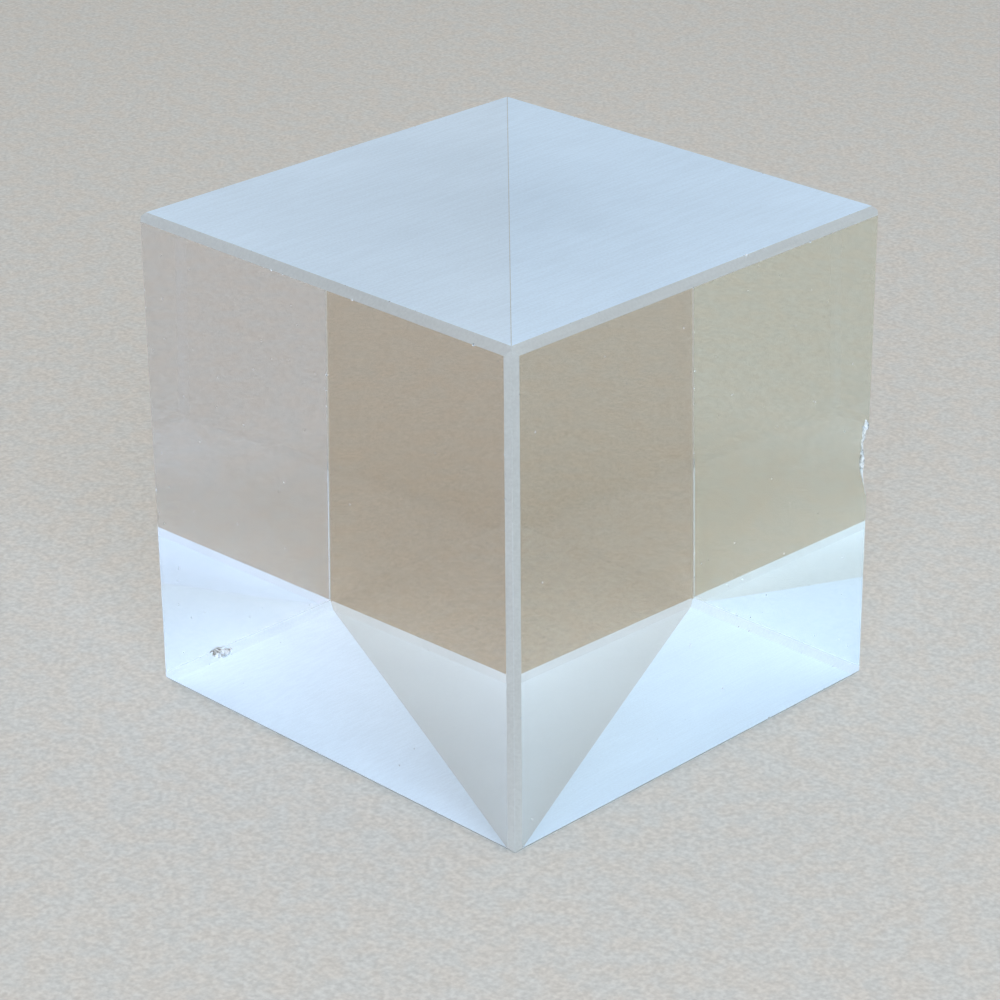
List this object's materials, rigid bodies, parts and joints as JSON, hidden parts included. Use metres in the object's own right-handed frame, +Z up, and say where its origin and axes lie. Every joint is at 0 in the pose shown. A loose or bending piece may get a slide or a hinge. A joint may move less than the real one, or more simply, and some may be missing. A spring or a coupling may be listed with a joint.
{
  "type": "cemented beamsplitter prism cube",
  "caption": "Solid glass cube of right-angle prisms cemented on the diagonal around a partly reflecting coating, with polished sides and ground ends.",
  "frame": {"origin": "centre of the ground bottom face", "axes": "+Z up, away from the bottom face; the polished faces look along +X, -X, +Y and -Y, and the cemented joint runs upright from the +X -Y edge to the -X +Y edge"},
  "size_m": [0.02, 0.02, 0.02],
  "materials": {
    "coated_prism_glass": "polished sides, ground top, bottom and bevels",
    "cover_prism_glass": "polished sides, ground top, bottom and bevels",
    "coating": "thin partly reflecting film",
    "cement": "clear cured optical cement"
  },
  "bodies": {
    "root": {"coated_prism": "coated_prism_glass", "cover_prism": "cover_prism_glass", "beamsplitter_coating": "coating", "optical_cement": "cement"}
  },
  "joints": []
}
